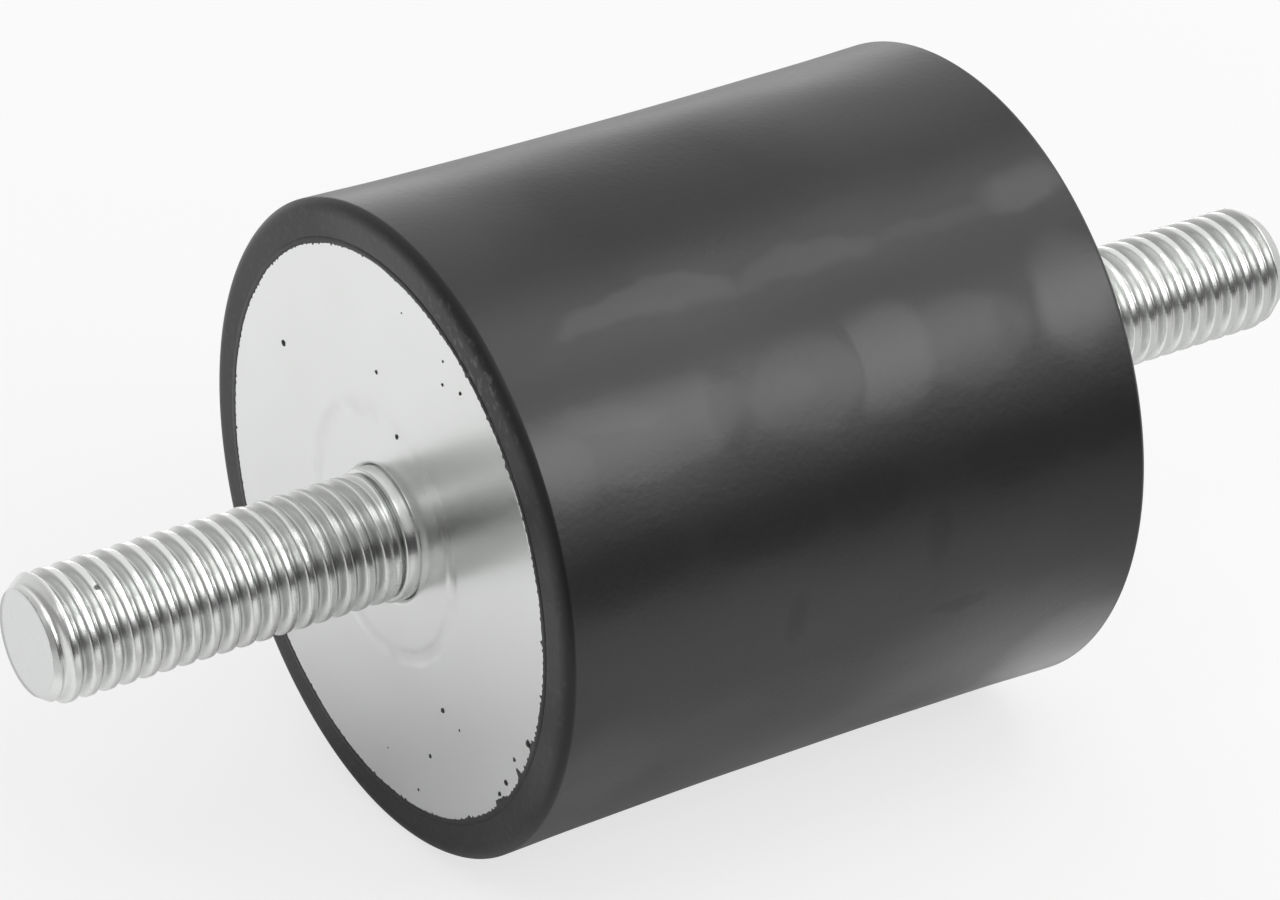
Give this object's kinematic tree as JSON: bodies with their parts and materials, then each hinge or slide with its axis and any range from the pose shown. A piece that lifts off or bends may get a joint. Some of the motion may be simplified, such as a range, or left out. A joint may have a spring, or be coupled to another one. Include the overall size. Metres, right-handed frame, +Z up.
{
  "type": "bobbin vibration mount",
  "caption": "Cylindrical rubber vibration mount with steel end plates and a threaded stud at each end.",
  "frame": {"origin": "centre of the rubber body, on its axis and midway between the two seat faces", "axes": "+Y along the stud axis, from the front end to the rear end; +Z up with the mount lying on its side; X completes the set"},
  "size_m": [0.0392, 0.086, 0.0392],
  "materials": {
    "rubber": "moulded black rubber, satin with a light bloom",
    "zinc_plate": "clear zinc plating on flat steel sheet",
    "zinc_stud": "clear zinc plating on a rolled thread"
  },
  "bodies": {
    "root": {"rubber_body": "rubber", "front_plate": "zinc_plate", "rear_plate": "zinc_plate", "front_stud": "zinc_stud", "rear_stud": "zinc_stud"}
  },
  "joints": []
}
